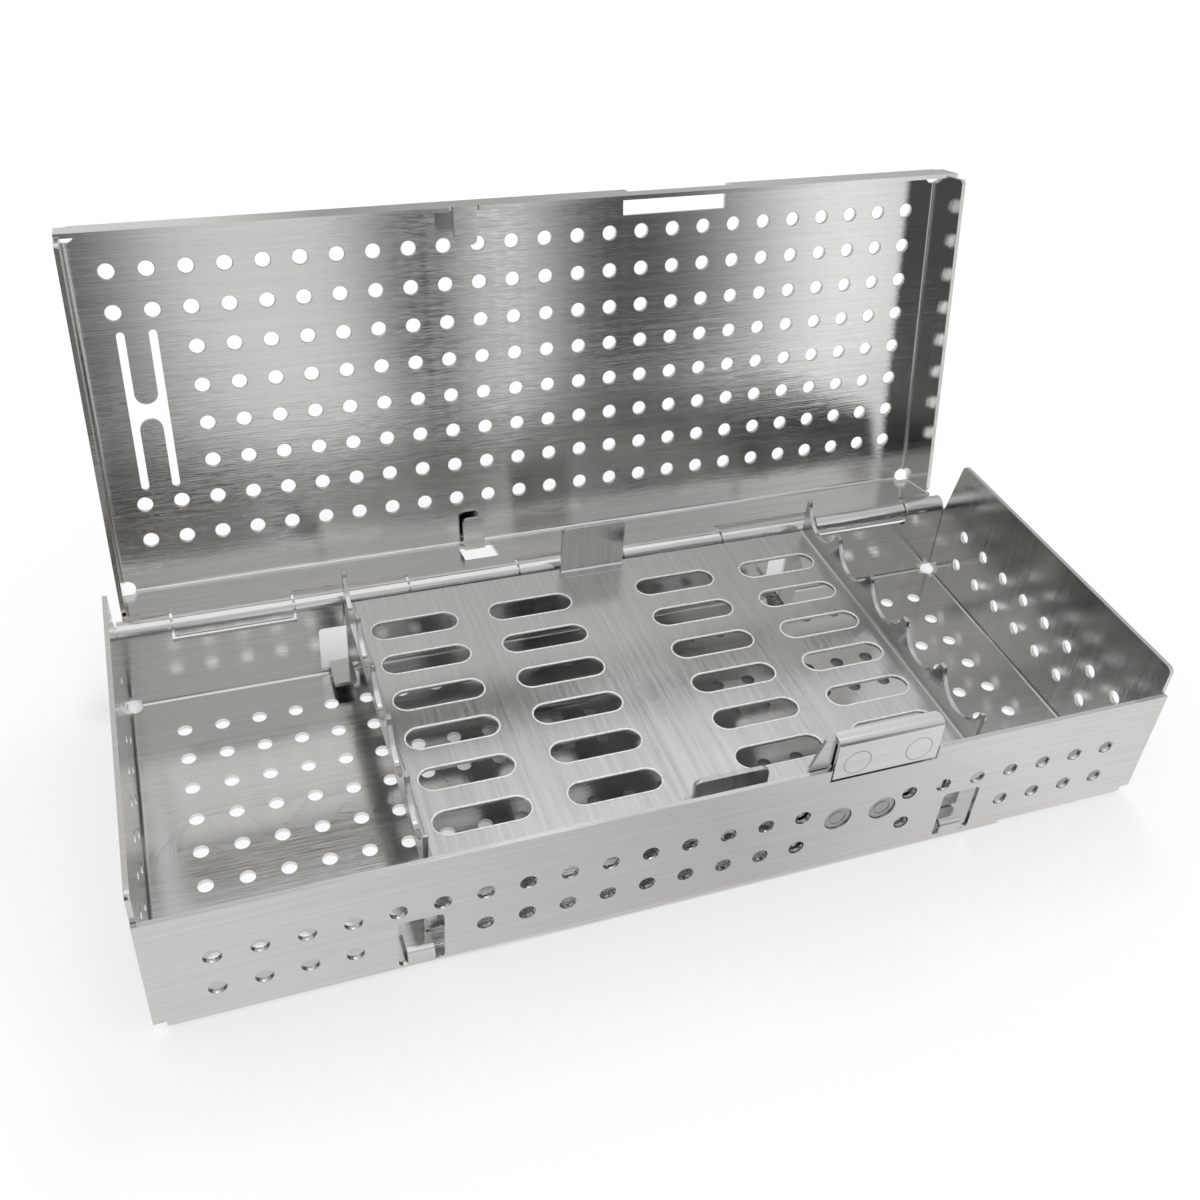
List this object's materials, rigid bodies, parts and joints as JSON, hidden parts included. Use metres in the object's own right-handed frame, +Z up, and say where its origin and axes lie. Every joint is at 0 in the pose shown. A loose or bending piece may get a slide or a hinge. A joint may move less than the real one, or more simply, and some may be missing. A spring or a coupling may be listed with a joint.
{
  "type": "dental instrument cassette",
  "caption": "Perforated sheet-metal cassette for dental hand instruments: folded tray, hinged lid leaning open, removable slotted rack with notched combs, sprung front latch",
  "frame": {"origin": "the middle of the underside of the tray, on the surface that it rests on", "axes": "+X right along the length, +Y from the front wall to the hinge, +Z up; the front wall with the latch faces -Y"},
  "size_m": [0.198, 0.1131, 0.0965],
  "materials": {
    "tray_steel": "brushed along the length",
    "lid_steel": "brushed along the length",
    "rack_steel": "brushed along the depth",
    "handle_steel": "satin",
    "latch_steel": "satin",
    "spring_steel": "satin",
    "pin_steel": "smooth",
    "rivet_steel": "turned"
  },
  "bodies": {
    "tray": {"base_tray": "tray_steel", "hinge_pin": "pin_steel", "latch_root": "spring_steel", "latch_rivets": "rivet_steel"},
    "lid": {"lid": "lid_steel"},
    "rack": {"rack_plate": "rack_steel", "rack_combs": "rack_steel", "rack_feet": "rack_steel", "rack_rear_handle": "handle_steel", "rack_front_handle": "handle_steel"},
    "latch": {"latch_plate": "latch_steel", "latch_spring": "spring_steel", "latch_studs": "rivet_steel"}
  },
  "joints": [
    {"name": "lid_hinge", "type": "hinge", "parent": "tray", "child": "lid", "pos_m": [0, 0.0421, 0.0191], "axis": [-1, 0, 0], "range_deg": [-101.7, 0]},
    {"name": "rack_lift", "type": "slide", "parent": "tray", "child": "rack", "axis": [0, 0, 1], "range_m": [0, 0.06]},
    {"name": "latch_flex", "type": "hinge", "parent": "tray", "child": "latch", "pos_m": [0, -0.0395, 0.025], "axis": [1, 0, 0], "range_deg": [0, 9], "stiffness_Nm_per_rad": 0.6}
  ]
}
